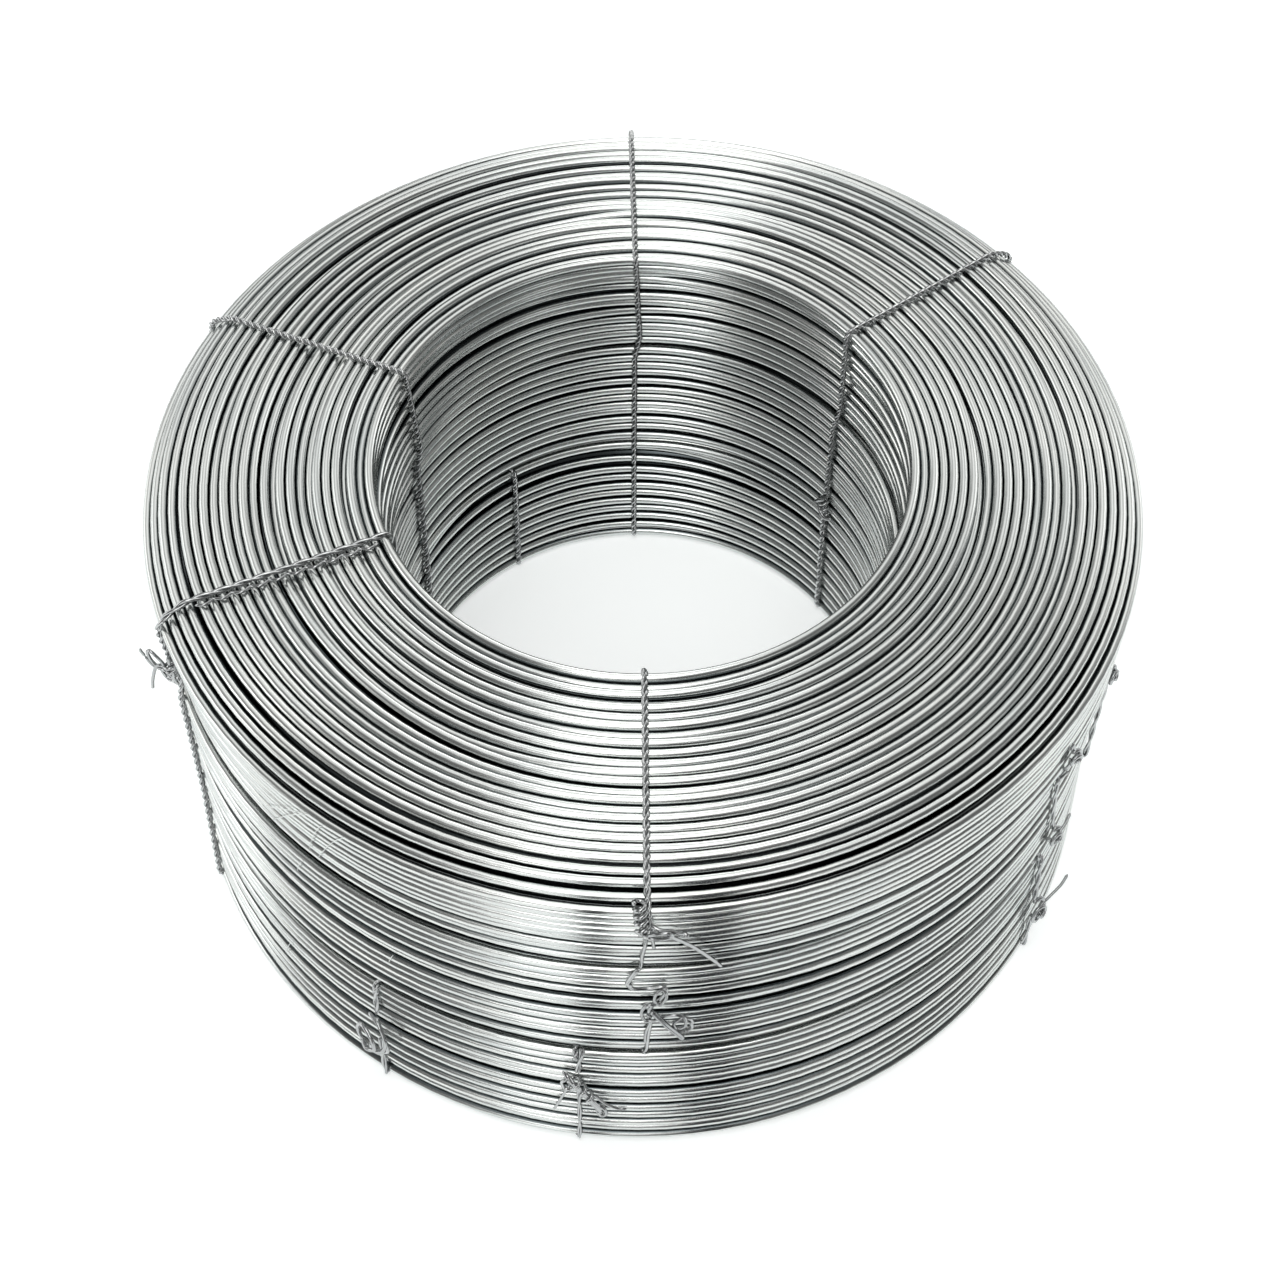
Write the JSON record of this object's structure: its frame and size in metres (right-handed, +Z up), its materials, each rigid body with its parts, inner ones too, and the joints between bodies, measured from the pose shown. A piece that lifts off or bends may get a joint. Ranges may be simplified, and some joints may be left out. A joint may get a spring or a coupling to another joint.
{
  "type": "bundle of galvanized wire coils",
  "caption": "Three flat coils of galvanized steel wire stacked as one bundle and bound with thin twisted wire ties.",
  "frame": {"origin": "on the axis of the bottom coil's bore, at the plane the bundle lies on", "axes": "+Z up along the bores, -Y towards the front of the picture, +X to its right"},
  "size_m": [0.1578, 0.1733, 0.0606],
  "materials": {
    "galvanized_wire": "galvanized, satin with drawn streaks",
    "tie_wire": "galvanized, duller than the coils"
  },
  "bodies": {
    "root": {"winding_top": "galvanized_wire", "winding_middle": "galvanized_wire", "winding_bottom": "galvanized_wire", "tie_back": "tie_wire", "tie_back_right": "tie_wire", "tie_back_left": "tie_wire", "tie_left": "tie_wire", "tie_front": "tie_wire", "middle_tie_right": "tie_wire", "middle_tie_front_right": "tie_wire", "bottom_tie_back_left": "tie_wire", "bottom_tie_front_left": "tie_wire", "bottom_tie_front": "tie_wire", "bottom_tie_front_right": "tie_wire"}
  },
  "joints": []
}
